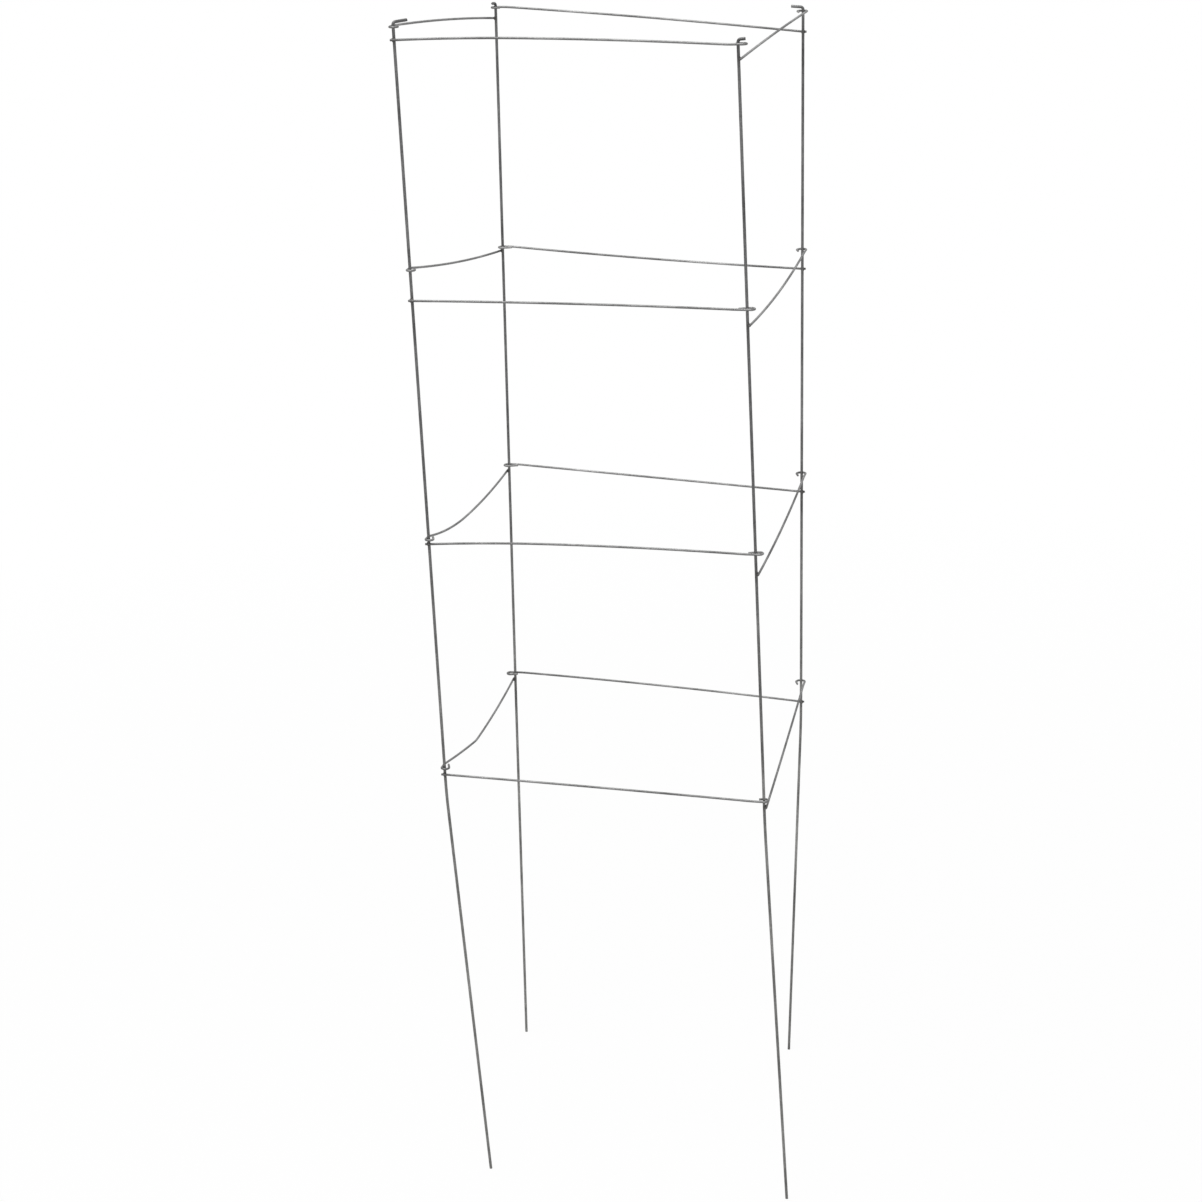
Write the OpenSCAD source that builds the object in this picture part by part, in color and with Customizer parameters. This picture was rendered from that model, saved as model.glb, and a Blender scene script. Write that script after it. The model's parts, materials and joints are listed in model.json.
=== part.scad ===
// Square folding plant cage: four welded wire panels, each hanging by its eyes on the next panel's leg.
// Millimetres, +Z up, origin on the floor at the middle of the square.
// Legs and panels are numbered 0 to 3: front left, front right, back right, back left.

/* [Cage] */
// Distance between neighbouring legs
panel_w = 300; // [220:5:420]
// Height of the lowest cross wires above the floor
stake_h = 413; // [250:1:500]
// Spacing of the cross wires up a leg
level_gap = 226; // [150:1:300]
// Twist of the standing cage, as the sideways lean of every leg in degrees
leg_lean = 1.2; // [0:0.1:1.4]
// Largest fold either way from square, in degrees
fold_limit = 85; // [60:1:85]

/* [Wire] */
// Diameter of the leg wire
leg_d = 2.7; // [2:0.1:4]
// Diameter of the cross wire
cross_d = 2.1; // [1.4:0.1:3]
// Depth that the weld presses a cross wire into its leg
weld_sink = 0.3; // [0.2:0.05:0.5]
// Length of cross wire left past its weld
stub_len = 3; // [2.5:0.5:8]

/* [Eyes and hooks] */
// Clearance between an eye and the leg that it hangs on
eye_gap = 0.3; // [0.2:0.1:0.6]
// Clearance of the right panel's eyes, which also slide and shift a little as the cage folds
slide_gap = 1.2; // [1:0.1:2]
// Slack of an eye's bend radius, over and above the leg and the clearance
eye_slack = 0.8; // [0.5:0.1:2]
// Length of flat wire that leads into an eye
eye_lead = 9; // [6:0.5:14]
// Angle at which an eye's tail closes in on its wire, in degrees
tail_angle = 20; // [10:1:30]
// Bend radius of a leg's top hook, at the wire's centre
hook_r = 2.5; // [2:0.5:6]
// Turn of a top hook, in degrees
hook_turn = 86; // [60:1:100]
// Play between a top eye and the start of the hook over it
hook_play = 0.4; // [0.3:0.1:3]
// Distance of a stake's bend below the lowest weld
bend_drop = 20; // [10:1:60]

/* [Front panel] */
// Height of the welds on the front left leg against the nominal levels, top to bottom
front_lift = [15, 15, 17, 18]; // [-20:1:20]
// Clear height of each front eye above the weld under it, top to bottom
front_clear = [10, 12, 17, 4]; // [1:1:30]
// Sag of each front wire, top to bottom
front_sag = [-3, -1.3, -3.6, -0.5]; // [-12:0.1:12]
// Reach of each front eye past its leg
front_reach = [3.5, 3, 3, 0]; // [0:0.5:4.5]
// Length of each front eye's tail
front_tail = [5, 10, 9, 4]; // [2:0.5:10]
// Shift of the front left foot, right and back
front_kick = [12, 23]; // [-30:1:30]
// Direction of the front left hook in degrees, and its straight length
front_hook = [40, 11]; // [-180:1:360]

/* [Right panel] */
// Height of the welds on the front right leg against the nominal levels, top to bottom
right_lift = [-2, -2, -2, -2]; // [-20:1:20]
// Clear height of each right eye above the weld under it when fully folded, top to bottom
right_clear = [0.8, 0.8, 0.8, 4]; // [0.5:0.1:30]
// Sag of each right wire, top to bottom
right_sag = [-1, 5, 4, 1]; // [-12:0.1:12]
// Reach of each right eye past its leg
right_reach = [0, 0, 1, 1]; // [0:0.5:4.5]
// Length of each right eye's tail
right_tail = [5, 5, 6, 6]; // [2:0.5:10]
// Shift of the front right foot, right and back
right_kick = [10, -6]; // [-30:1:30]
// Direction of the front right hook in degrees, and its straight length
right_hook = [5, 4]; // [-180:1:360]

/* [Back panel] */
// Height of the welds on the back right leg against the nominal levels, top to bottom
back_lift = [-15, -15, -15, -15]; // [-20:1:20]
// Clear height of each back eye above the weld under it, top to bottom
back_clear = [8, 1.5, 4, 4.5]; // [1:0.5:30]
// Sag of each back wire, top to bottom
back_sag = [-1.2, 1.5, 0, -1.5]; // [-12:0.1:12]
// Reach of each back eye past its leg
back_reach = [0, 0, 1, 4.5]; // [0:0.5:4.5]
// Length of each back eye's tail
back_tail = [4, 9, 10, 7]; // [2:0.5:10]
// Shift of the back right foot, right and back
back_kick = [-10, -14]; // [-30:1:30]
// Direction of the back right hook in degrees, and its straight length
back_hook = [178, 9]; // [-180:1:360]

/* [Left panel] */
// Height of the welds on the back left leg against the nominal levels, top to bottom
left_lift = [0, 0, 0, 0]; // [-20:1:20]
// Clear height of each left eye above the weld under it, top to bottom
left_clear = [9, 25, 2, 4]; // [1:1:30]
// Sag of each left wire, top to bottom
left_sag = [-1.8, 2.9, 9.5, 10.6]; // [-12:0.1:12]
// Reach of each left eye past its leg
left_reach = [1, 0, 0, 0]; // [0:0.5:4.5]
// Length of each left eye's tail
left_tail = [6, 3, 7, 7]; // [2:0.5:10]
// Shift of the back left foot, right and back
left_kick = [0, 3]; // [-30:1:30]
// Direction of the back left hook in degrees, and its straight length
left_hook = [255, 4]; // [-180:1:360]

/* [Hidden] */
$fn = 32;
leg_r = leg_d / 2;
cross_r = cross_d / 2;
levels = len(front_clear);
top_level = stake_h + (levels - 1) * level_gap;
mid_level = (stake_h + top_level) / 2;
weld_reach = leg_r + cross_r - weld_sink;
// Where two lengths of wire meet, a ball this much larger than the wire joins them
ball_over = 0.03;
// A straight length stops this far short of the ball's centre
ball_cut = 0.1;
// The right panel's eyes slide this far down the back right leg as the twisted cage folds flat
fold_slide = 2 * sqrt(2) * panel_w * tan(leg_lean) * (1 - cos(fold_limit));

lift = [front_lift, right_lift, back_lift, left_lift];
clear = [front_clear, right_clear, back_clear, left_clear];
sag = [front_sag, right_sag, back_sag, left_sag];
reach = [front_reach, right_reach, back_reach, left_reach];
tail = [front_tail, right_tail, back_tail, left_tail];
kick = [front_kick, right_kick, back_kick, left_kick];
hook = [front_hook, right_hook, back_hook, left_hook];
slide = [0, fold_slide, 0, 0];
gap = [eye_gap, slide_gap, eye_gap, eye_gap];

SIDES = ["front", "right", "back", "left"];
LEGS = ["front_left_leg", "front_right_leg", "back_right_leg", "back_left_leg"];

// Direction of a panel's cross wires, and the direction from the panel into the cage
function along(panel) = [cos(90 * panel), sin(90 * panel), 0];
function inward(panel) = [-sin(90 * panel), cos(90 * panel), 0];
function next(panel) = (panel + 1) % 4;
function previous(panel) = (panel + 3) % 4;

// Centre of a leg at a height: the corner of the square, shifted sideways by the twist
function leg_at(leg, z) =
    let (lean = (mid_level - z) * tan(leg_lean) / sqrt(2))
    (lean - panel_w / 2) * along(leg) - (lean + panel_w / 2) * inward(leg) + [0, 0, z];

// Height of a panel's weld, and of its eye above the weld on the next leg
function weld_z(panel, level) = top_level - (level - 1) * level_gap + lift[panel][level - 1];
function eye_z(panel, level) =
    weld_z(next(panel), level) + cross_d + clear[panel][level - 1] + slide[panel];

// A round rod from one point to another, cut short at the ends that run into a ball
module rod(from, to, r, from_ball = true, to_ball = true) {
    run = to - from;
    start_cut = from_ball ? ball_cut : 0;
    end_cut = to_ball ? ball_cut : 0;
    translate(from)
        rotate([0, acos(run.z / norm(run)), atan2(run.y, run.x)])
            translate([0, 0, start_cut])
                cylinder(h = norm(run) - start_cut - end_cut, r = r);
}

// The ball that joins two lengths of wire, turned so that its seam lies across a wire of this heading
module ball(at, r, heading = 0) {
    translate(at)
        rotate([0, 0, heading + 90])
            sphere(r = r + ball_over);
}

// Part of a round ring, turning left from the start of the X axis
module ring(turn, radius, r) {
    rotate_extrude(angle = turn, $fn = ceil(16 * 360 / turn))
        translate([radius, 0]) circle(r = r, $fn = 32);
}

// A rod bowed in its own upright plane, downwards for a positive drop
module bowed_rod(from, to, drop, r) {
    run = to - from;
    span = norm(run);
    if (abs(drop) < 0.01) {
        rod(from, to, r);
    } else {
        depth = abs(drop);
        radius = (span * span / 4 + depth * depth) / (2 * depth);
        half = asin(span / 2 / radius);
        translate(from)
            rotate([0, -asin(run.z / span), atan2(run.y, run.x)])
                mirror([0, 0, drop < 0 ? 1 : 0])
                    translate([span / 2, 0, radius - depth])
                        rotate([90, 0, 0])
                            rotate([0, 0, -90 - half])
                                ring(2 * half, radius, r);
    }
}

// A flat eye round the origin: the wire passes outside the leg, turns round it and closes in again
module eye(pass, past, tail_len) {
    eye_r = pass + eye_slack;
    tail_start = eye_r * [-sin(tail_angle), cos(tail_angle), 0];
    tail_way = -[cos(tail_angle), sin(tail_angle), 0];
    translate([0, -pass, 0]) {
        rod([-eye_lead, 0, 0], [past, 0, 0], cross_r);
        ball([past, 0, 0], cross_r);
        translate([past, eye_r, 0]) {
            rotate([0, 0, -90]) ring(180 + tail_angle, eye_r, cross_r);
            ball(tail_start, cross_r, tail_angle);
            rod(tail_start, tail_start + tail_len * tail_way, cross_r, to_ball = false);
        }
    }
}

// A cross wire: a stub past the weld, the bowed span, and the eye on the next leg
module cross_wire(panel, level) {
    pass = leg_r + cross_r + gap[panel];
    weld = leg_at(panel, weld_z(panel, level)) - weld_reach * inward(panel);
    eye_centre = leg_at(next(panel), eye_z(panel, level));
    eye_start = eye_centre - pass * inward(panel) - eye_lead * along(panel);
    rod(weld - stub_len * along(panel), weld, cross_r, from_ball = false);
    ball(weld, cross_r, 90 * panel);
    bowed_rod(weld, eye_start, sag[panel][level - 1], cross_r);
    ball(eye_start, cross_r, 90 * panel);
    translate(eye_centre)
        rotate([0, 0, 90 * panel])
            eye(pass, reach[panel][level - 1], tail[panel][level - 1]);
}

// A hook that turns from straight up towards the X axis
module top_hook(len) {
    hook_end = hook_r * [1 - cos(hook_turn), 0, sin(hook_turn)];
    ball([0, 0, 0], leg_r);
    translate([hook_r, 0, 0])
        rotate([90, 0, 0])
            rotate([0, 0, 180 - hook_turn])
                ring(hook_turn, hook_r, leg_r);
    ball(hook_end, leg_r);
    rod(hook_end, hook_end + len * [sin(hook_turn), 0, cos(hook_turn)], leg_r, to_ball = false);
}

// A leg: a stake whose square-cut end stands on the floor, a slight bend, the hinge length and the top hook
module leg(panel) {
    knee = leg_at(panel, weld_z(panel, levels) - bend_drop);
    floor_point = leg_at(panel, 0) + [kick[panel].x, kick[panel].y, 0];
    stake = knee - floor_point;
    foot = floor_point + [0, 0, leg_r * norm([stake.x, stake.y]) / norm(stake)];
    hook_start = leg_at(panel, eye_z(previous(panel), 1) + cross_r + hook_play);
    rod(foot, knee, leg_r, from_ball = false);
    ball(knee, leg_r);
    rod(knee, hook_start, leg_r);
    translate(hook_start) rotate([0, 0, hook[panel][0]]) top_hook(hook[panel][1]);
}

module front_left_leg() { color("gray") leg(0); }
module front_right_leg() { color("gray") leg(1); }
module back_right_leg() { color("gray") leg(2); }
module back_left_leg() { color("gray") leg(3); }
module front_wire(level) { color("darkgray") cross_wire(0, level); }
module right_wire(level) { color("darkgray") cross_wire(1, level); }
module back_wire(level) { color("darkgray") cross_wire(2, level); }
module left_wire(level) { color("darkgray") cross_wire(3, level); }

front_left_leg();
front_right_leg();
back_right_leg();
back_left_leg();
for (level = [1 : levels]) {
    front_wire(level);
    right_wire(level);
    back_wire(level);
    left_wire(level);
}
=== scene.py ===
"""Dresses the folding plant cage: drawn galvanised wires, weld flash and a white studio."""

import json
import math

import bpy
import numpy as np
from bpy.props import FloatProperty, FloatVectorProperty, IntProperty, PointerProperty
from mathutils import Matrix, Vector

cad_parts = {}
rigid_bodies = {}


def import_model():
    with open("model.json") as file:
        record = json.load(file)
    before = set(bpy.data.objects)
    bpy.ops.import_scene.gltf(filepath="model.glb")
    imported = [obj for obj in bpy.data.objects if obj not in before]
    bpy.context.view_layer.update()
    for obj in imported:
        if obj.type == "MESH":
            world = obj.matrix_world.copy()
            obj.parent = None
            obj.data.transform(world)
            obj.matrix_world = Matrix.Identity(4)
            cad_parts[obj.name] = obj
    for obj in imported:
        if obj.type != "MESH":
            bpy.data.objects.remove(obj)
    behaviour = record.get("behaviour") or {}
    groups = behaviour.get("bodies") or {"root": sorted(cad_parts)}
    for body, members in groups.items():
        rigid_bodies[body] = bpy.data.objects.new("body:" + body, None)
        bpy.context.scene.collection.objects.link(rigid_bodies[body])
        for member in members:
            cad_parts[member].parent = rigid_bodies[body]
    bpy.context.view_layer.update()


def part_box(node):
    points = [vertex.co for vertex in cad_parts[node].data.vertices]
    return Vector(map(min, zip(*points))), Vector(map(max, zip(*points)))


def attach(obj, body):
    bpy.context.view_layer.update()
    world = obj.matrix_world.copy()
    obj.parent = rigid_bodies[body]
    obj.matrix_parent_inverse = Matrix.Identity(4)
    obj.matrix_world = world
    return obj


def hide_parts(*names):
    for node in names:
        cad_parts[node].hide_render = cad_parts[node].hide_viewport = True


bl_info = {
    "name": "Folding Plant Cage",
    "version": (1, 0, 0),
    "blender": (4, 5, 0),
    "location": "View3D > Sidebar > Cage",
    "description": "Builds the wires, welds and studio of a square folding plant cage",
    "category": "Object",
}

for leftover in list(bpy.data.objects):
    bpy.data.objects.remove(leftover)
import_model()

MM = 0.001
LEVELS = 4
SIDES = ("front", "right", "back", "left")
PANELS = len(SIDES)
LEG_NODES = ("front_left_leg", "front_right_leg", "back_right_leg", "back_left_leg")
LAMPS = ("key", "fill", "rim")
UP = np.array([0.0, 0.0, 1.0])
WHITE = (1, 1, 1, 1)

# Spacing of the points along a wire: on long straights, on the way into an eye, and at its ends
LONG_STEP = 3 * MM
LEAD_STEP = 2 * MM
END_STEP = 1 * MM

# Points round an eye, and the distance within which two points count as one
EYE_POINTS = 37
SAME_POINT = 0.02 * MM

# Share of the bend drop that rounds a stake's bend, and the length that eases a cross wire into its bow
KNEE_SHARE = 0.9
EASE = 3.5 * MM

# Weights that soften a bow's bends, over neighbouring points
BOW_SOFTENING = (0.12, 0.24, 0.28, 0.24, 0.12)

# Waves of the zinc coat: length along the wire, turns round it, share of the seed, start, and height
COAT_WAVES = (
    (9.3 * MM, 0, 1.0, 0.0, 0.35),
    (4.1 * MM, 0, 2.3, 1.0, 0.35),
    (1.9 * MM, 2, 1.7, 0.0, 0.25),
    (2.7 * MM, -1, 1.0, 0.0, 0.25),
)

# Cut ends: the bevel as shares of the wire's radius, the widening of a nip, and the rings that draw it
BEVEL_LENGTH = 0.18
BEVEL_DEPTH = 0.22
NIP_WIDENING = 0.12
NIP_RINGS = (0.25, 0.6, 1.0)

# Least gap between two rings, the rise past which a wire counts as upright, and the angle of a crisp edge
RING_GAP = 0.01 * MM
STEEP = 0.9
CRISP_ANGLE = math.radians(48)

# Weld flash: points round it, rows to each face, its flat ends and its bulge
FLASH_SPOKES = 32
FLASH_ROWS = 7
FLASH_FLAT = 0.6
FLASH_BULGE = 0.8

# Waves of the flash's edge: lobes round it, shares of the seed and of the row, and height
EDGE_WAVES = ((3, 1.0, 0, 0.07), (5, 2.1, 1, 0.05))

# Wave of the flash's thickness: lobes round it, share of the seed, and height
THICKNESS_WAVE = (2, 1.3, 0.08)

# Steps of the seed that makes each wire and weld uneven in its own way: by leg, or by panel and level
LEG_SEED = 1.7
CROSS_SEEDS = (4, 0.9)
WELD_SEEDS = (2.3, 1.1)

# How far a drawn wire's box may differ from its solid's
LEG_PLAY = 1.2 * MM
CROSS_PLAY = 3 * MM

# Streaks of the zinc: stops of their noise, and the tones there on plain wire and on the stakes
STREAK_STOPS = (0.28, 0.5, 0.74)
STREAK_TONES = (0.7, 1.0, 1.3)
STAKE_TONES = (0.7, 1.0, 1.25)
STREAKS_PER_SPANGLE = 1.3

# Fine drawing lines: scale of their noise per metre, and its squash along the wire
LINE_SCALE = 4500.0
LINE_SQUASH = 0.02

# Chalky zinc: scale of its noise per metre, where it starts and is full, and its tone
CHALK_SCALE = 420.0
CHALK_STOPS = (0.56, 0.72)
CHALK_TONE = 1.8

# Span of the stretches' noise that goes from their darkest to their lightest
STRETCH_SPAN = (0.3, 0.7)

# Scorch round a weld: its tone, and how chalk breaks it up
SCORCH_TONE = 0.75
SCORCH_SPREAD = (0.2, 1.4)

# Roughness of the zinc below and above its mean, and the strength and depth of its grain
DULL_SPREAD = (-0.14, 0.18)
ZINC_RELIEF = (0.3, 0.06 * MM)

# Burnt crust of a weld: scale of its noise per metre, least and most roughness, metal and relief
CRUST_SCALE = 1500.0
CRUST_ROUGHNESS = (0.45, 0.75)
CRUST_METALLIC = 0.7
CRUST_RELIEF = (0.5, 0.1 * MM)

# Tint of a weld: scale of its noise per metre, and its stops and tones
TINT_SCALE = 500.0
TINT_STOPS = (0.35, 0.55, 0.75)
TINT_TONES = (0.7, 1.0, 1.5)

# Paper of the floor: scale of its noise per metre, its stops and its darker tone
PAPER_SCALE = 3.0
PAPER_STOPS = (0.3, 0.7)
PAPER_TONE = 0.99

# Width of the camera's sensor in millimetres
SENSOR_WIDTH = 36


# Properties


def length(name, description, millimetres):
    """A length property, given in millimetres and kept in metres."""
    return FloatProperty(
        name=name, description=description, default=millimetres * MM, unit="LENGTH", precision=5
    )


def lengths(name, description, millimetres):
    """Several lengths, given in millimetres and kept in metres."""
    return FloatVectorProperty(
        name=name, description=description, default=[v * MM for v in millimetres],
        size=len(millimetres), unit="LENGTH", precision=5,
    )


def angle(name, description, degrees):
    """An angle property, given in degrees."""
    return FloatProperty(
        name=name, description=description, default=math.radians(degrees), subtype="ANGLE"
    )


def colour(name, description, rgb):
    """A colour property."""
    return FloatVectorProperty(
        name=name, description=description, default=rgb, size=3, subtype="COLOR", min=0, max=1
    )


def share(name, description, value, high=1.0):
    """A share, from 0 up."""
    return FloatProperty(
        name=name, description=description, default=value, min=0, max=high, subtype="FACTOR"
    )


def shares(name, description, values, low=0.0, high=1.0):
    """A share for each level's cross wire."""
    return FloatVectorProperty(
        name=name, description=description, default=values, size=LEVELS, min=low, max=high
    )


def power(name, description, watts):
    """The power of a lamp."""
    return FloatProperty(name=name, description=description, default=watts, min=0, unit="POWER")


class CageShape(bpy.types.PropertyGroup):
    """Sizes that all four panels share."""

    panel_width: length("Panel width", "Distance between neighbouring legs", 300)
    stake_height: length("Stake height", "Height of the lowest cross wires", 413)
    level_gap: length("Level gap", "Spacing of the cross wires up a leg", 226)
    leg_lean: angle("Leg lean", "Twist of the standing cage, as every leg's sideways lean", 1.2)
    leg_diameter: length("Leg diameter", "Diameter of the leg wire", 2.7)
    cross_diameter: length("Cross diameter", "Diameter of the cross wire", 2.1)
    weld_sink: length("Weld sink", "Depth that a weld presses a cross wire into its leg", 0.3)
    stub_length: length("Stub length", "Cross wire left past its weld", 3)
    eye_gap: length("Eye gap", "Clearance between an eye and its leg", 0.3)
    slide_gap: length("Slide gap", "Clearance of the right panel's eyes, which also slide", 1.2)
    eye_slack: length("Eye slack", "Slack of an eye's bend radius", 0.8)
    eye_lead: length("Eye lead", "Flat wire that leads into an eye", 9)
    tail_angle: angle("Tail angle", "Angle at which an eye's tail closes in", 20)
    hook_radius: length("Hook radius", "Bend radius of a leg's top hook", 2.5)
    hook_turn: angle("Hook turn", "Turn of a top hook", 86)
    hook_play: length("Hook play", "Play between a top eye and the hook over it", 0.4)
    bend_drop: length("Bend drop", "Distance of a stake's bend below the lowest weld", 20)
    fold_limit: angle("Fold limit", "Largest fold either way from square", 85)


def panel_group(title, lift, clear, sag, peak, kink, reach, tail, kick, hook):
    """A property group for one panel: where its welds, bows, eyes, foot and hook differ from the others."""
    fields = {
        "lift": lengths("Lift", "Height of each weld on this leg against its nominal level", lift),
        "clear": lengths("Clear", "Clear height of each eye above the weld under it", clear),
        "sag": lengths("Sag", "Sag of each cross wire, top to bottom", sag),
        "peak": shares("Peak", "Share of the span at which each wire sags most", peak, 0.2, 0.8),
        "kink": shares("Kink", "How sharp each wire's bow is: 0 is an even curve, 1 a bend", kink),
        "reach": lengths("Reach", "Reach of each eye past its leg", reach),
        "tail": lengths("Tail", "Length of each eye's tail", tail),
        "kick": lengths("Kick", "Shift of this leg's foot, right and back", kick),
        "hook_heading": angle("Hook heading", "Direction of this leg's hook", hook[0]),
        "hook_length": length("Hook length", "Straight length of this leg's hook", hook[1]),
    }
    return type(title, (bpy.types.PropertyGroup,), {"__annotations__": fields, "__doc__": title})


CageFrontPanel = panel_group(
    "CageFrontPanel", lift=(15, 15, 17, 18), clear=(10, 12, 17, 4), sag=(-3, -1.3, -3.6, -0.5),
    peak=(0.4, 0.5, 0.4, 0.5), kink=(0, 0, 0, 0),
    reach=(3.5, 3, 3, 0), tail=(5, 10, 9, 4), kick=(12, 23), hook=(40, 11),
)
CageRightPanel = panel_group(
    "CageRightPanel", lift=(-2, -2, -2, -2), clear=(0.8, 0.8, 0.8, 4), sag=(-1, 5, 4, 1),
    peak=(0.5, 0.5, 0.5, 0.5), kink=(0, 0, 0, 0),
    reach=(0, 0, 1, 1), tail=(5, 5, 6, 6), kick=(10, -6), hook=(5, 4),
)
CageBackPanel = panel_group(
    "CageBackPanel", lift=(-15, -15, -15, -15), clear=(8, 1.5, 4, 4.5), sag=(-1.2, 1.5, 0, -1.5),
    peak=(0.5, 0.5, 0.5, 0.5), kink=(0, 0, 0, 0),
    reach=(0, 0, 1, 4.5), tail=(4, 9, 10, 7), kick=(-10, -14), hook=(178, 9),
)
CageLeftPanel = panel_group(
    "CageLeftPanel", lift=(0, 0, 0, 0), clear=(9, 25, 2, 4), sag=(-1.8, 2.9, 11, 15.5),
    peak=(0.5, 0.5, 0.6, 0.58), kink=(0, 0, 0.1, 0.8),
    reach=(1, 0, 0, 0), tail=(6, 3, 7, 7), kick=(0, 3), hook=(255, 4),
)


class CageFinish(bpy.types.PropertyGroup):
    """Colours and surface of the wire."""

    # Painted shade: the leg grey is set darker than the cross wires' grey, standing in for the weaker
    # overhead light that falls on upright wire
    leg_colour: colour("Leg zinc", "Zinc grey of the leg wires", (0.138, 0.138, 0.138))
    stake_colour: colour("Stake zinc", "Duller, warmer grey of the legs' lower ends", (0.21, 0.209, 0.202))
    cross_colour: colour("Cross zinc", "Zinc grey of the cross wires", (0.19, 0.19, 0.189))
    weld_colour: colour("Weld", "Grey of the weld flash", (0.1, 0.097, 0.094))
    stake_fade: lengths("Stake fade", "Where stake grey turns to leg grey, from stake height", (-100, 300))
    zinc_metallic: share("Metallic", "How metallic the dull zinc is", 0.55)
    zinc_roughness: share("Roughness", "Mean roughness of the zinc", 0.45)
    glancing: colour("Glancing", "Gloss that dull zinc keeps at glancing angles", (0.5, 0.5, 0.5))
    spangle: length("Spangle", "Size of the zinc's crystal patches", 1.6)
    spangle_contrast: share("Spangle contrast", "How far the crystal patches differ in tone", 0.14)
    streak: length("Streak", "Length of the drawing streaks along a wire", 14)
    line_contrast: share("Line contrast", "How far the fine drawing lines differ in tone", 0.28)
    stretch: length("Stretch", "Length of the lighter and darker stretches of a wire", 60)
    stretch_contrast: share("Stretch contrast", "How far the stretches differ in tone", 0.55)
    chalk: share("Chalk", "How much the chalky zinc covers", 0.35)
    coat_wave: length("Coat wave", "Unevenness of the zinc coat", 0.025)
    wire_sides: IntProperty(name="Sides", description="Faces round a wire", default=20, min=8, max=48)


class CageWeld(bpy.types.PropertyGroup):
    """Sizes of the weld flash and of the cut ends."""

    flash_radius: length("Flash radius", "Reach of the flash from the middle of a weld", 1.7)
    flash_corner: length("Flash corner", "Further reach of the flash in the corners of the crossing", 0.45)
    flash_height: length("Flash height", "Half thickness of the flash between the wires", 0.75)
    heat_reach: length("Heat reach", "Reach of a weld's heat mark along the wires", 4.5)
    nip_length: length("Nip length", "Length of wire that a cutter squeezes at a cut end", 1.1)
    nip_depth: share("Nip depth", "Share of the wire's width that a cutter squeezes away", 0.28, 0.6)


class CageStage(bpy.types.PropertyGroup):
    """Camera, lamps and floor."""

    lens: FloatProperty(
        name="Lens", description="Focal length", default=76.7, min=10, max=300, unit="CAMERA"
    )
    camera_place: lengths("Camera place", "Where the camera stands", (512.4, -2280.0, 1353.1))
    camera_heading: angle("Heading", "Turn of the camera to the left of straight ahead", 13.279)
    camera_tilt: angle("Tilt", "How far the camera looks down", 18.834)
    camera_roll: angle("Roll", "Roll of the camera", -2.114)
    floor_colour: colour("Floor", "Colour of the floor", (0.9, 0.9, 0.9))
    floor_size: length("Floor size", "Width of the floor", 30000)
    floor_glow: share("Floor glow", "Share of the white that glows from the floor round the cage", 0.94)
    glow_reach: lengths(
        "Glow reach", "Distances at which the floor's glow starts to rise and is full", (500, 2200)
    )
    world_level: FloatProperty(
        name="World", description="Level of the even light", default=0.3, min=0, max=2
    )
    lamp_aim: length("Lamp aim", "Height that the lamps face", 600)
    key_place: lengths("Key place", "Where the key lamp hangs", (-500, -900, 3500))
    key_size: length("Key size", "Width of the key lamp", 2200)
    key_power: power("Key", "Power of the key lamp", 88)
    fill_place: lengths("Fill place", "Where the fill lamp hangs", (1400, -2600, 1300))
    fill_size: length("Fill size", "Width of the fill lamp", 1600)
    fill_power: power("Fill", "Power of the fill lamp", 7)
    rim_place: lengths("Rim place", "Where the lamp behind hangs", (900, 2300, 2400))
    rim_size: length("Rim size", "Width of the lamp behind", 1400)
    rim_power: power("Rim", "Power of the lamp behind", 14)


class CageSettings(bpy.types.PropertyGroup):
    """Everything that can be set on the cage."""

    shape: PointerProperty(type=CageShape, name="Shape")
    front: PointerProperty(type=CageFrontPanel, name="Front panel")
    right: PointerProperty(type=CageRightPanel, name="Right panel")
    back: PointerProperty(type=CageBackPanel, name="Back panel")
    left: PointerProperty(type=CageLeftPanel, name="Left panel")
    finish: PointerProperty(type=CageFinish, name="Finish")
    weld: PointerProperty(type=CageWeld, name="Welds and ends")
    stage: PointerProperty(type=CageStage, name="Stage")


# Centre lines of the wires


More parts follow.
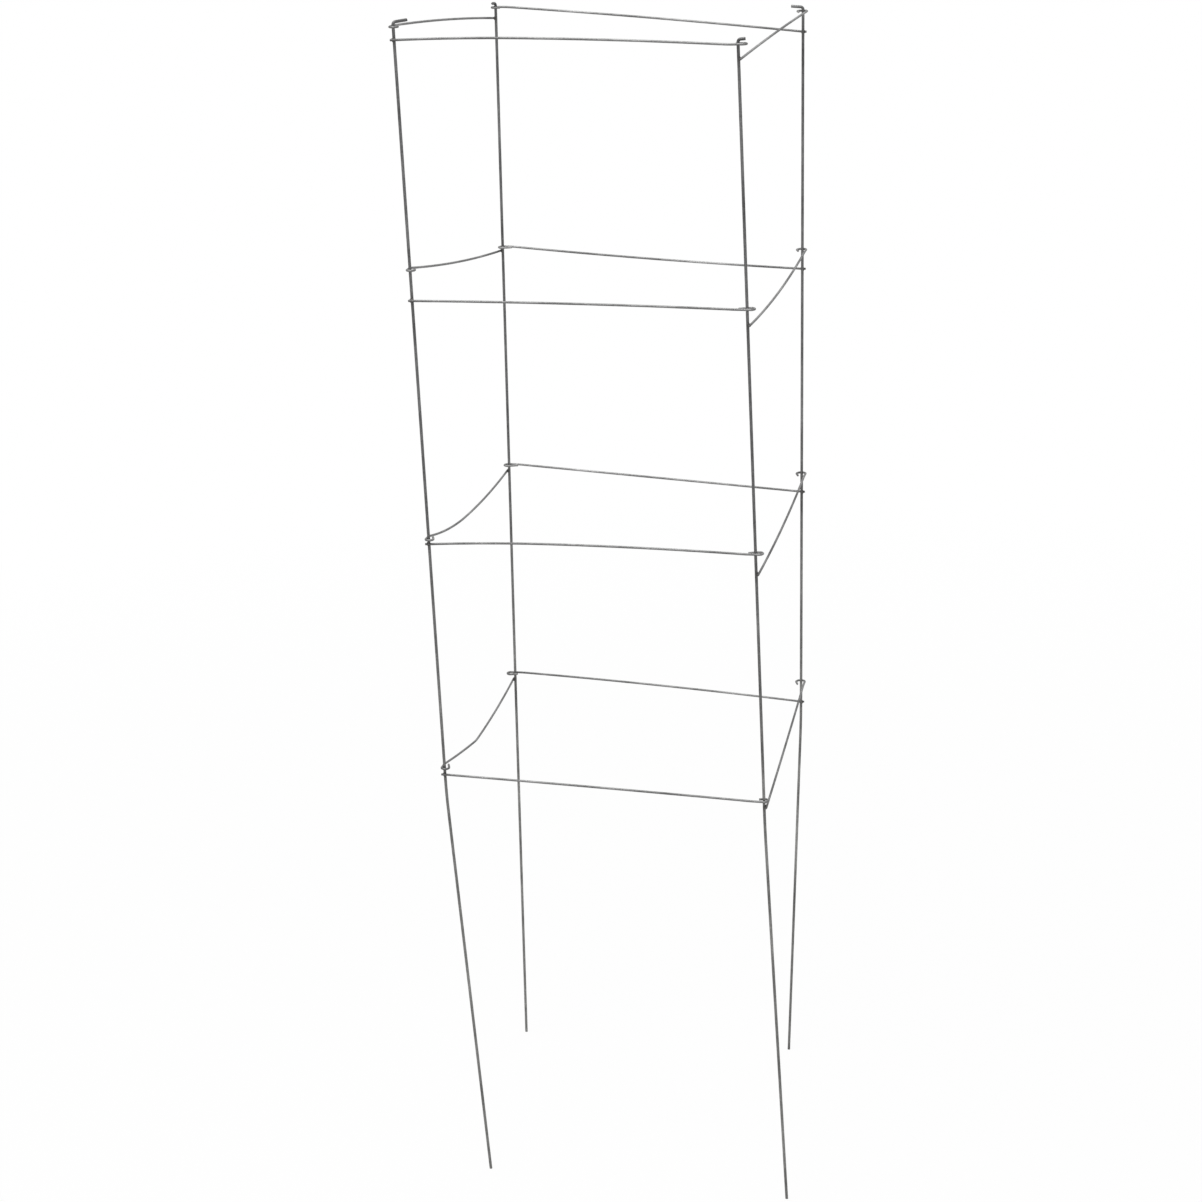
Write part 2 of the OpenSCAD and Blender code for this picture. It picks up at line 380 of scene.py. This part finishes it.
class CageLayout:
    """Where the legs, welds and eyes are, worked out from the settings."""

    def __init__(self, settings):
        self.shape = settings.shape
        self.panels = [getattr(settings, side) for side in SIDES]
        self.leg_r = self.shape.leg_diameter / 2
        self.cross_r = self.shape.cross_diameter / 2
        self.top_level = self.shape.stake_height + (LEVELS - 1) * self.shape.level_gap
        self.mid_level = (self.shape.stake_height + self.top_level) / 2
        lean = math.tan(self.shape.leg_lean)
        fold = 1 - math.cos(self.shape.fold_limit)
        self.fold_slide = 2 * math.sqrt(2) * self.shape.panel_width * lean * fold

    @staticmethod
    def along(panel):
        """Direction of a panel's cross wires, from its own leg to the next."""
        turn = panel * math.pi / 2
        return np.array([round(math.cos(turn)), round(math.sin(turn)), 0.0])

    @staticmethod
    def inward(panel):
        """Direction from a panel into the cage."""
        turn = panel * math.pi / 2
        return np.array([-round(math.sin(turn)), round(math.cos(turn)), 0.0])

    def leg_at(self, leg, z):
        """Centre of a leg at a height."""
        lean = (self.mid_level - z) * math.tan(self.shape.leg_lean) / math.sqrt(2)
        half = self.shape.panel_width / 2
        return (lean - half) * self.along(leg) - (lean + half) * self.inward(leg) + z * UP

    def weld_z(self, panel, level):
        """Height of a panel's weld."""
        return self.top_level - level * self.shape.level_gap + self.panels[panel].lift[level]

    def eye_z(self, panel, level):
        """Height of a panel's eye, above the weld on the next leg."""
        slide = self.fold_slide if SIDES[panel] == "right" else 0
        under = self.weld_z((panel + 1) % PANELS, level) + self.shape.cross_diameter
        return under + self.panels[panel].clear[level] + slide

    def weld_point(self, panel, level):
        """Centre of a cross wire where it crosses its own leg."""
        apart = self.leg_r + self.cross_r - self.shape.weld_sink
        return self.leg_at(panel, self.weld_z(panel, level)) - apart * self.inward(panel)

    def weld_spot(self, panel, level):
        """Middle of a weld, between a cross wire and its leg."""
        return self.weld_point(panel, level) + (self.cross_r - self.shape.weld_sink / 2) * self.inward(panel)

    def weld_spots(self):
        """Middles of all the welds."""
        return np.array([self.weld_spot(panel, level) for panel in range(PANELS) for level in range(LEVELS)])

    def leg_path(self, leg):
        """Centre line of a leg, from the foot to the tip of the hook."""
        own = self.panels[leg]
        knee = self.leg_at(leg, self.weld_z(leg, LEVELS - 1) - self.shape.bend_drop)
        foot = self.leg_at(leg, 0) + np.array([own.kick[0], own.kick[1], 0])
        stake = knee - foot
        foot = foot + UP * self.leg_r * math.hypot(stake[0], stake[1]) / np.linalg.norm(stake)
        top_eye = self.eye_z((leg - 1) % PANELS, 0)
        hook_start = self.leg_at(leg, top_eye + self.cross_r + self.shape.hook_play)
        heading = np.array([math.cos(own.hook_heading), math.sin(own.hook_heading), 0])
        way = math.sin(self.shape.hook_turn) * heading + math.cos(self.shape.hook_turn) * UP
        lead = self.shape.hook_radius * math.tan(self.shape.hook_turn / 2)
        corner = hook_start + lead * UP
        tip = corner + (lead + own.hook_length) * way
        knee_round = KNEE_SHARE * self.shape.bend_drop
        lower = straight(foot, toward(knee, foot, knee_round))
        bend = eased(toward(knee, foot, knee_round), knee, toward(knee, corner, knee_round))
        upper = straight(toward(knee, corner, knee_round), toward(corner, knee, lead))
        hook = arc(toward(corner, knee, lead), corner, corner + lead * way, self.shape.hook_radius)
        return joined(lower, bend, upper, hook, straight(corner + lead * way, tip, END_STEP))

    def cross_path(self, panel, level):
        """Centre line of a cross wire, from the stub past its weld to the end of the eye's tail."""
        own, along, inward = self.panels[panel], self.along(panel), self.inward(panel)
        gap = self.shape.slide_gap if SIDES[panel] == "right" else self.shape.eye_gap
        off = self.leg_r + self.cross_r + gap
        eye_r = off + self.shape.eye_slack
        weld = self.weld_point(panel, level)
        centre = self.leg_at((panel + 1) % PANELS, self.eye_z(panel, level))
        eye_start = centre - off * inward - self.shape.eye_lead * along
        bow = bowed(weld, eye_start, own.sag[level], own.peak[level], own.kink[level])
        bow = bow[np.linalg.norm(bow - weld, axis=1) > EASE]
        bow = bow[np.linalg.norm(bow - eye_start, axis=1) > EASE]
        stub_end = weld - self.shape.stub_length * along
        stub = straight(stub_end, toward(weld, stub_end, EASE / 2), END_STEP)
        into_bow = eased(stub[-1], weld, bow[0])
        into_eye = eased(bow[-1], eye_start, eye_start + EASE * along)
        bend = centre + own.reach[level] * along + (eye_r - off) * inward
        lead = straight(eye_start + EASE * along, bend - eye_r * inward, LEAD_STEP)
        turn = np.linspace(-math.pi / 2, math.pi / 2 + self.shape.tail_angle, EYE_POINTS)
        loop = np.array([bend + eye_r * (math.cos(a) * along + math.sin(a) * inward) for a in turn])
        way = -(math.cos(self.shape.tail_angle) * along + math.sin(self.shape.tail_angle) * inward)
        tail = straight(loop[-1], loop[-1] + own.tail[level] * way, END_STEP)
        return joined(stub, into_bow, bow, into_eye, lead, loop, tail)


def toward(start, end, distance):
    """The point at a distance from start, on the way to end."""
    run = end - start
    return start + run * (distance / np.linalg.norm(run))


def straight(start, end, step=LONG_STEP):
    """Points along a straight length of wire."""
    count = max(2, int(np.linalg.norm(end - start) / step) + 1)
    return start + np.linspace(0, 1, count)[:, None] * (end - start)


def eased(start, corner, end, count=9):
    """Points along a soft bend from start to end, steered by a corner."""
    t = np.linspace(0, 1, count)[:, None]
    return (1 - t) ** 2 * start + 2 * t * (1 - t) * corner + t**2 * end


def arc(start, corner, end, radius, count=13):
    """Points along a round bend from start to end, on the two straights that meet at the corner."""
    middle = (start + end) / 2
    centre = corner + (middle - corner) * (
        math.hypot(radius, np.linalg.norm(start - corner)) / np.linalg.norm(middle - corner)
    )
    a, b = start - centre, end - centre
    turn = math.acos(np.clip(a @ b / (np.linalg.norm(a) * np.linalg.norm(b)), -1, 1))
    t = np.linspace(0, 1, count)[:, None]
    return centre + (np.sin((1 - t) * turn) * a + np.sin(t * turn) * b) / math.sin(turn)


def bowed(start, end, drop, peak, kink, count=109):
    """Points along a span that sags by drop at its peak, with half of the kink before the peak."""
    t = np.linspace(0, 1, count)
    side = np.where(t < peak, t / peak, (1 - t) / (1 - peak))
    curve = 1 - (1 - side) ** 2
    sharp = np.where(t < peak, kink / 2, kink)
    fall = drop * ((1 - sharp) * curve + sharp * side)
    edge = len(BOW_SOFTENING) // 2
    fall[edge:-edge] = np.convolve(fall, BOW_SOFTENING, "valid")
    return start + t[:, None] * (end - start) - fall[:, None] * UP


def joined(*lengths_of_wire):
    """One line of points, without the doubled points where the lengths meet."""
    points = np.vstack(lengths_of_wire)
    keep = np.ones(len(points), bool)
    keep[1:] = np.linalg.norm(np.diff(points, axis=0), axis=1) > SAME_POINT
    return points[keep]


# Meshes


def seed_of(steps, panel, level):
    """A number of its own for each wire or weld."""
    return steps[0] * panel + steps[1] * level


def frames_along(points):
    """A pair of crosswise directions at each point that doesn't twist along the wire."""
    way = np.gradient(points, axis=0)
    way /= np.linalg.norm(way, axis=1)[:, None]
    first = np.cross(way[0], UP if abs(way[0] @ UP) < STEEP else np.array([1.0, 0.0, 0.0]))
    sideways = [first / np.linalg.norm(first)]
    for tangent in way[1:]:
        side = sideways[-1] - (sideways[-1] @ tangent) * tangent
        sideways.append(side / np.linalg.norm(side))
    sideways = np.array(sideways)
    return sideways, np.cross(way, sideways)


def coat_wave(run, turn, size, seed):
    """Slight unevenness of the zinc coat, smooth along and round the wire."""
    wave, most = 0, 0
    for step, turns, seed_share, start, height in COAT_WAVES:
        wave = wave + height * np.sin(run / step + turns * turn + seed_share * seed + start)
        most += height
    return size * wave / most


def closed_tube(name, rings):
    """A smooth mesh over rings of points, closed at both ends."""
    count, sides = rings.shape[:2]
    faces = []
    for ring in range(count - 1):
        low, high = ring * sides, (ring + 1) * sides
        for k in range(sides):
            n = (k + 1) % sides
            faces.append((low + k, low + n, high + n, high + k))
    faces.append(tuple(range(sides))[::-1])
    faces.append(tuple((count - 1) * sides + k for k in range(sides)))
    mesh = bpy.data.meshes.new(name)
    mesh.from_pydata(rings.reshape(-1, 3).tolist(), [], faces)
    mesh.polygons.foreach_set("use_smooth", [True] * len(faces))
    return mesh


def drawn_wire(name, points, radius, settings, seed, weld_spots):
    """A drawn, galvanised wire along points: uneven zinc coat, nipped ends and heat marks at the welds."""
    finish, weld = settings.finish, settings.weld
    bevel = BEVEL_LENGTH * radius
    run = np.concatenate([[0], np.cumsum(np.linalg.norm(np.diff(points, axis=0), axis=1))])
    total = run[-1]
    extra = np.append(np.array(NIP_RINGS) * weld.nip_length, bevel)
    stations = np.unique(np.concatenate([run, extra, total - extra]))
    stations = stations[np.concatenate([[True], np.diff(stations) > RING_GAP])]
    line = np.stack([np.interp(stations, run, points[:, i]) for i in range(3)], axis=1)
    sideways, over = frames_along(line)
    turn = np.arange(finish.wire_sides) * 2 * math.pi / finish.wire_sides
    to_end = np.minimum(stations, total - stations)
    squeeze = weld.nip_depth * np.clip(1 - to_end / weld.nip_length, 0, 1) ** 2
    rounding = np.where(to_end < bevel, 1 - BEVEL_DEPTH * (1 - to_end / bevel), 1.0)
    reach = radius + coat_wave(stations[:, None], turn[None, :], finish.coat_wave, seed)
    x = reach * np.cos(turn) * ((1 - squeeze) * rounding)[:, None]
    y = reach * np.sin(turn) * ((1 + NIP_WIDENING * squeeze) * rounding)[:, None]
    rings = line[:, None, :] + x[:, :, None] * sideways[:, None, :] + y[:, :, None] * over[:, None, :]
    mesh = closed_tube(name, rings)
    around = np.broadcast_arrays(seed + radius * np.cos(turn), radius * np.sin(turn), stations[:, None])
    store(mesh, "wire_place", np.stack(around, axis=2).reshape(-1, 3))
    apart = np.linalg.norm(rings.reshape(-1, 1, 3) - weld_spots[None, :, :], axis=2).min(axis=1)
    store(mesh, "weld_heat", np.exp(-((apart / weld.heat_reach) ** 2)))
    return finished(name, mesh)


def weld_flash(name, middle, along, inward, settings, seed):
    """The metal that a spot weld squeezes out between two crossing wires, widest in the four corners."""
    weld = settings.weld
    turn = np.arange(FLASH_SPOKES)[:, None] * 2 * math.pi / FLASH_SPOKES
    outward = np.cos(turn) * along + np.sin(turn) * UP
    lobes, seed_share, height = THICKNESS_WAVE
    uneven = 1 + height * np.sin(lobes * turn + seed_share * seed)
    rings = []
    for row in range(FLASH_ROWS, -FLASH_ROWS - 1, -1):
        slope = math.pi / 2 * row / (FLASH_ROWS + FLASH_FLAT)
        edge = 1
        for lobes, seed_share, row_share, height in EDGE_WAVES:
            edge = edge + height * np.sin(lobes * turn + seed_share * seed + row_share * row)
        reach = (weld.flash_radius + weld.flash_corner * np.sin(2 * turn) ** 2) * edge
        thick = weld.flash_height * math.sin(slope) * uneven
        rings.append(middle + reach * math.cos(slope) ** FLASH_BULGE * outward + thick * inward)
    rings = np.array(rings)
    mesh = closed_tube(name, rings)
    store(mesh, "wire_place", rings.reshape(-1, 3) - middle + seed)
    return finished(name, mesh)


def store(mesh, name, values):
    """Keeps a value or a place on each point, which the finishes are drawn by."""
    values = np.asarray(values, np.float32)
    if values.ndim == 1:
        mesh.attributes.new(name, "FLOAT", "POINT").data.foreach_set("value", values)
    else:
        mesh.attributes.new(name, "FLOAT_VECTOR", "POINT").data.foreach_set("vector", values.ravel())


def finished(name, mesh):
    """A new object in the scene, with crisp edges at its cut ends."""
    mesh.validate()
    mesh.update()
    mesh.set_sharp_from_angle(angle=CRISP_ANGLE)
    piece = bpy.data.objects.new(name, mesh)
    bpy.context.scene.collection.objects.link(piece)
    return piece


def same_place(piece, node, play):
    """Stops if a drawn wire doesn't lie where its solid is."""
    corners = np.array([list(corner) for corner in piece.bound_box])
    low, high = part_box(node)
    for i in range(3):
        below, above = corners[:, i].min() - low[i], corners[:, i].max() - high[i]
        if max(abs(below), abs(above)) > play:
            raise RuntimeError(f"{piece.name} doesn't lie where {node} is")


# Finishes


class Shading:
    """Adds and links the nodes of one material or world."""

    def __init__(self, owner, output):
        owner.use_nodes = True
        self.tree = owner.node_tree
        self.tree.nodes.clear()
        self.output = self.add(output)

    def put(self, socket, value):
        """Links a socket to another node's, or sets its constant."""
        if isinstance(value, bpy.types.NodeSocket):
            self.tree.links.new(value, socket)
        else:
            socket.default_value = value

    def add(self, kind, inputs=None, **settings):
        """A node with its settings, its constants and its incoming links."""
        node = self.tree.nodes.new(kind)
        for key, value in settings.items():
            setattr(node, key, value)
        for key, value in (inputs or {}).items():
            self.put(node.inputs[key], value)
        return node

    def end(self, shader):
        """Makes a shader the one that is seen."""
        self.tree.links.new(shader.outputs[0], self.output.inputs["Surface"])

    def attribute(self, name, output):
        """What a mesh keeps on its points."""
        return self.add("ShaderNodeAttribute", attribute_name=name).outputs[output]

    def squashed(self, place, squash):
        """A place squashed along the wire, so that what is drawn by it runs long."""
        node = self.add("ShaderNodeMapping", {"Vector": place, "Scale": (1.0, 1.0, squash)})
        return node.outputs["Vector"]

    def noise(self, place, scale, detail=3.0, roughness=0.55):
        """Soft noise, from 0 to 1."""
        node = self.add("ShaderNodeTexNoise", {"Vector": place, "Scale": scale, "Detail": detail,
                                               "Roughness": roughness})
        return node.outputs["Fac"]

    def ramp(self, value, places, colours):
        """A colour ramp over a value."""
        node = self.add("ShaderNodeValToRGB", {"Fac": value})
        while len(node.color_ramp.elements) < len(places):
            node.color_ramp.elements.new(0.5)
        for element, place, rgb in zip(node.color_ramp.elements, places, colours):
            element.position = place
            element.color = (*rgb, 1)
        return node.outputs["Color"]

    def spread(self, value, low, high, start=0.0, end=1.0):
        """A value from start to end spread over another range."""
        node = self.add("ShaderNodeMapRange", {"Value": value, "From Min": start, "From Max": end,
                                               "To Min": low, "To Max": high})
        return node.outputs["Result"]

    def maths(self, operation, first, second, clamp=False):
        """Two values worked into one."""
        node = self.add("ShaderNodeMath", {0: first, 1: second}, operation=operation, use_clamp=clamp)
        return node.outputs[0]

    def blend(self, amount, first, second, mode="MIX"):
        """Two colours mixed, through the mix node's own sockets for colours."""
        node = self.add("ShaderNodeMix", data_type="RGBA", blend_type=mode)
        for socket, value in ((0, amount), (6, first), (7, second)):
            self.put(node.inputs[socket], value)
        return node.outputs[2]

    def seen(self):
        """1 on rays that show a surface, straight or in a reflection, and 0 on rays that carry its light."""
        rays = self.add("ShaderNodeLightPath").outputs
        seen = self.maths("MAXIMUM", rays["Is Camera Ray"], rays["Is Glossy Ray"])
        return self.maths("MAXIMUM", seen, rays["Is Transmission Ray"])

    def mix_shaders(self, amount, first, second):
        """Two shaders mixed."""
        return self.add("ShaderNodeMixShader", {0: amount, 1: first.outputs[0], 2: second.outputs[0]})

    def bump(self, height, relief):
        """Slight relief, by its strength and depth."""
        node = self.add("ShaderNodeBump", {"Height": height, "Strength": relief[0], "Distance": relief[1]})
        return node.outputs["Normal"]


def new_material(name):
    """A material and its nodes."""
    material = bpy.data.materials.new(name)
    return material, Shading(material, "ShaderNodeOutputMaterial")


def tinted(rgb, tone):
    """A colour made lighter or darker."""
    return tuple(min(1.0, c * tone) for c in rgb)


def tints(rgb, tones):
    """A colour in several tones."""
    return [tinted(rgb, tone) for tone in tones]


def galvanised(name, zinc, settings, low_zinc=None, low_end=None):
    """Dull galvanised wire with crystal patches, drawing lines, uneven stretches, chalk and heat marks.

    low_end gives the lengths along the wire over which low_zinc turns to zinc."""
    finish = settings.finish
    material, s = new_material(name)
    place = s.attribute("wire_place", "Vector")
    crystals = s.add("ShaderNodeTexVoronoi", {"Vector": place, "Scale": 1 / finish.spangle}, feature="F1")
    crystal_tone = s.add("ShaderNodeSeparateColor", {"Color": crystals.outputs["Color"]}).outputs["Red"]
    streak_place = s.squashed(place, finish.spangle / finish.streak)
    streaks = s.noise(streak_place, STREAKS_PER_SPANGLE / finish.spangle, detail=4.0, roughness=0.6)
    lines = s.noise(s.squashed(place, LINE_SQUASH), LINE_SCALE, detail=2.0, roughness=0.6)
    stretches = s.noise(place, 1 / finish.stretch, detail=3.0, roughness=0.6)
    stretches = s.spread(stretches, 0.0, 1.0, *STRETCH_SPAN)
    chalk = s.noise(place, CHALK_SCALE, detail=5.0, roughness=0.65)
    base = s.ramp(streaks, STREAK_STOPS, tints(zinc, STREAK_TONES))
    if low_end:
        length_along = s.add("ShaderNodeSeparateXYZ", {"Vector": place}).outputs["Z"]
        low_base = s.ramp(streaks, STREAK_STOPS, tints(low_zinc, STAKE_TONES))
        base = s.blend(s.spread(length_along, 0.0, 1.0, *low_end), low_base, base)
    patterns = (
        (crystal_tone, finish.spangle_contrast),
        (stretches, finish.stretch_contrast),
        (lines, finish.line_contrast),
    )
    for pattern, contrast in patterns:
        level = s.spread(pattern, 1 - contrast, 1 + contrast)
        shade = s.add("ShaderNodeCombineColor", {"Red": level, "Green": level, "Blue": level})
        base = s.blend(1.0, base, shade.outputs["Color"], "MULTIPLY")
    chalky = s.spread(s.ramp(chalk, CHALK_STOPS, ((0, 0, 0), (1, 1, 1))), 0.0, finish.chalk)
    base = s.blend(chalky, base, (*tinted(zinc, CHALK_TONE), 1))
    heat = s.attribute("weld_heat", "Fac")
    scorch = s.maths("MULTIPLY", heat, s.spread(chalk, *SCORCH_SPREAD), clamp=True)
    base = s.blend(scorch, base, (*tinted(finish.weld_colour, SCORCH_TONE), 1))
    dull = s.spread(streaks, *(finish.zinc_roughness + change for change in DULL_SPREAD))
    grain = s.maths("ADD", s.maths("ADD", chalk, crystal_tone), lines)
    s.end(s.add("ShaderNodeBsdfPrincipled", {
        "Base Color": base, "Roughness": dull, "Metallic": finish.zinc_metallic,
        "Specular Tint": (*finish.glancing, 1), "Normal": s.bump(grain, ZINC_RELIEF),
    }))
    return material


def weld_scale(settings):
    """Burnt, slightly scaly metal of a spot weld."""
    material, s = new_material("weld_scale")
    place = s.attribute("wire_place", "Vector")
    crust = s.noise(place, CRUST_SCALE, detail=4.0, roughness=0.65)
    tint = s.noise(place, TINT_SCALE, detail=2.0, roughness=0.5)
    burnt = s.ramp(tint, TINT_STOPS, tints(settings.finish.weld_colour, TINT_TONES))
    s.end(s.add("ShaderNodeBsdfPrincipled", {
        "Base Color": burnt, "Roughness": s.spread(crust, *CRUST_ROUGHNESS), "Metallic": CRUST_METALLIC,
        "Normal": s.bump(crust, CRUST_RELIEF),
    }))
    return material


def studio_white(stage):
    """The white floor: it glows for the camera and in reflections, and takes a soft shadow of the cage."""
    material, s = new_material("studio_floor")
    place = s.add("ShaderNodeTexCoord").outputs["Object"]
    paper = s.ramp(s.noise(place, PAPER_SCALE), PAPER_STOPS, tints(stage.floor_colour, (PAPER_TONE, 1.0)))
    matt = s.add("ShaderNodeBsdfDiffuse", {"Color": paper})
    glow = s.add("ShaderNodeEmission", {"Color": WHITE, "Strength": 1.0})
    away = s.add("ShaderNodeVectorMath", {0: place}, operation="LENGTH").outputs["Value"]
    glowing = s.spread(away, stage.floor_glow, 1.0, *stage.glow_reach)
    s.end(s.mix_shaders(s.maths("MULTIPLY", s.seen(), glowing), matt, glow))
    return material


# Operators


class CAGE_OT_legs(bpy.types.Operator):
    """Draw the four leg wires, from stake to hook"""

    bl_idname = "cage.legs"
    bl_label = "Leg Wires"

    def execute(self, context):
        settings = context.scene.cage
        layout = CageLayout(settings)
        spots = layout.weld_spots()
        finish = settings.finish
        low_end = [settings.shape.stake_height + change for change in finish.stake_fade]
        # The legs' zinc grey holds painted shade: it is darker than the cross wires' grey for the weaker
        # overhead light on upright wire
        zinc = galvanised("galvanised_leg", finish.leg_colour, settings, finish.stake_colour, low_end)
        for leg, node in enumerate(LEG_NODES):
            path = layout.leg_path(leg)
            piece = drawn_wire("drawn_" + node, path, layout.leg_r, settings, LEG_SEED * leg, spots)
            same_place(piece, node, LEG_PLAY)
            piece.data.materials.append(zinc)
            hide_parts(node)
            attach(piece, SIDES[leg] + "_panel")
        return {"FINISHED"}


class CAGE_OT_cross_wires(bpy.types.Operator):
    """Draw the sixteen cross wires, from stub to eye"""

    bl_idname = "cage.cross_wires"
    bl_label = "Cross Wires"

    def execute(self, context):
        settings = context.scene.cage
        layout = CageLayout(settings)
        spots = layout.weld_spots()
        zinc = galvanised("galvanised_cross", settings.finish.cross_colour, settings)
        for panel, side in enumerate(SIDES):
            for level in range(LEVELS):
                node = f"{side}_wire_{level + 1}"
                path = layout.cross_path(panel, level)
                seed = seed_of(CROSS_SEEDS, panel, level)
                piece = drawn_wire("drawn_" + node, path, layout.cross_r, settings, seed, spots)
                same_place(piece, node, CROSS_PLAY)
                piece.data.materials.append(zinc)
                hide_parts(node)
                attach(piece, side + "_panel")
        return {"FINISHED"}


class CAGE_OT_welds(bpy.types.Operator):
    """Add the flash of the sixteen spot welds"""

    bl_idname = "cage.welds"
    bl_label = "Weld Flash"

    def execute(self, context):
        settings = context.scene.cage
        layout = CageLayout(settings)
        scale = weld_scale(settings)
        for panel, side in enumerate(SIDES):
            along, inward = layout.along(panel), layout.inward(panel)
            for level in range(LEVELS):
                middle = layout.weld_spot(panel, level)
                seed = seed_of(WELD_SEEDS, panel, level)
                piece = weld_flash(f"weld_{side}_{level + 1}", middle, along, inward, settings, seed)
                piece.data.materials.append(scale)
                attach(piece, side + "_panel")
        return {"FINISHED"}


class CAGE_OT_stage(bpy.types.Operator):
    """Set the white floor, the soft lamps and the camera"""

    bl_idname = "cage.stage"
    bl_label = "Studio Stage"

    def execute(self, context):
        scene, stage = context.scene, context.scene.cage.stage
        self.floor(scene, stage)
        self.world(scene, stage)
        for name in LAMPS:
            self.lamp(scene, stage, name)
        self.camera(scene, stage)
        scene.view_settings.view_transform = "Standard"
        return {"FINISHED"}

    @staticmethod
    def floor(scene, stage):
        """A wide floor that the stakes stand on."""
        half = stage.floor_size / 2
        corners = [(-half, -half, 0), (half, -half, 0), (half, half, 0), (-half, half, 0)]
        mesh = bpy.data.meshes.new("studio_floor")
        mesh.from_pydata(corners, [], [(0, 1, 2, 3)])
        mesh.materials.append(studio_white(stage))
        floor = bpy.data.objects.new("studio_floor", mesh)
        scene.collection.objects.link(floor)

    @staticmethod
    def world(scene, stage):
        """White where it is seen or reflected, and an even light elsewhere."""
        world = bpy.data.worlds.new("studio_world")
        s = Shading(world, "ShaderNodeOutputWorld")
        even = s.add("ShaderNodeBackground", {"Color": WHITE, "Strength": stage.world_level})
        white = s.add("ShaderNodeBackground", {"Color": WHITE, "Strength": 1.0})
        s.end(s.mix_shaders(s.seen(), even, white))
        scene.world = world

    @staticmethod
    def lamp(scene, stage, name):
        """A soft lamp that faces the middle of the cage."""
        data = bpy.data.lights.new(name + "_lamp", "AREA")
        data.shape = "DISK"
        data.size = getattr(stage, name + "_size")
        data.energy = getattr(stage, name + "_power")
        place = Vector(getattr(stage, name + "_place"))
        lamp = bpy.data.objects.new(name + "_lamp", data)
        lamp.location = place
        lamp.rotation_euler = (Vector((0, 0, stage.lamp_aim)) - place).to_track_quat("-Z", "Y").to_euler()
        scene.collection.objects.link(lamp)

    @staticmethod
    def camera(scene, stage):
        """The camera, at the photograph's place and angle."""
        data = bpy.data.cameras.new("camera")
        data.sensor_width = SENSOR_WIDTH
        data.lens = stage.lens
        camera = bpy.data.objects.new("camera", data)
        flat = math.cos(stage.camera_tilt)
        forward = Vector((-math.sin(stage.camera_heading) * flat, math.cos(stage.camera_heading) * flat,
                          -math.sin(stage.camera_tilt)))
        level = forward.cross(Vector((0, 0, 1))).normalized()
        upright = level.cross(forward)
        right = level * math.cos(stage.camera_roll) + upright * math.sin(stage.camera_roll)
        above = upright * math.cos(stage.camera_roll) - level * math.sin(stage.camera_roll)
        turn = Matrix((right, above, -forward)).transposed()
        camera.matrix_world = Matrix.Translation(Vector(stage.camera_place)) @ turn.to_4x4()
        scene.collection.objects.link(camera)
        scene.camera = camera


class CAGE_PT_panel(bpy.types.Panel):
    """Lists the cage's steps and settings"""

    bl_idname = "CAGE_PT_panel"
    bl_label = "Folding Plant Cage"
    bl_space_type = "VIEW_3D"
    bl_region_type = "UI"
    bl_category = "Cage"

    def draw(self, context):
        for step in STEPS:
            self.layout.operator(step.bl_idname)
        settings = context.scene.cage
        for group in settings.bl_rna.properties:
            if group.type == "POINTER" and group.identifier != "rna_type":
                box = self.layout.box()
                box.label(text=group.name)
                values = getattr(settings, group.identifier)
                for field in values.bl_rna.properties:
                    if field.identifier not in ("rna_type", "name"):
                        box.prop(values, field.identifier)


STEPS = (CAGE_OT_legs, CAGE_OT_cross_wires, CAGE_OT_welds, CAGE_OT_stage)
CLASSES = (
    CageShape, CageFrontPanel, CageRightPanel, CageBackPanel, CageLeftPanel, CageFinish, CageWeld, CageStage,
    CageSettings, *STEPS, CAGE_PT_panel,
)


def register():
    """Registers the classes and the scene's settings."""
    for item in CLASSES:
        bpy.utils.register_class(item)
    bpy.types.Scene.cage = PointerProperty(type=CageSettings)


def unregister():
    """Removes the scene's settings and the classes."""
    del bpy.types.Scene.cage
    for item in reversed(CLASSES):
        bpy.utils.unregister_class(item)


def main():
    """Builds every piece and the stage, and writes both boxes."""
    register()
    bpy.ops.cage.legs()
    bpy.ops.cage.cross_wires()
    bpy.ops.cage.welds()
    bpy.ops.cage.stage()


if __name__ == "__main__":
    main()
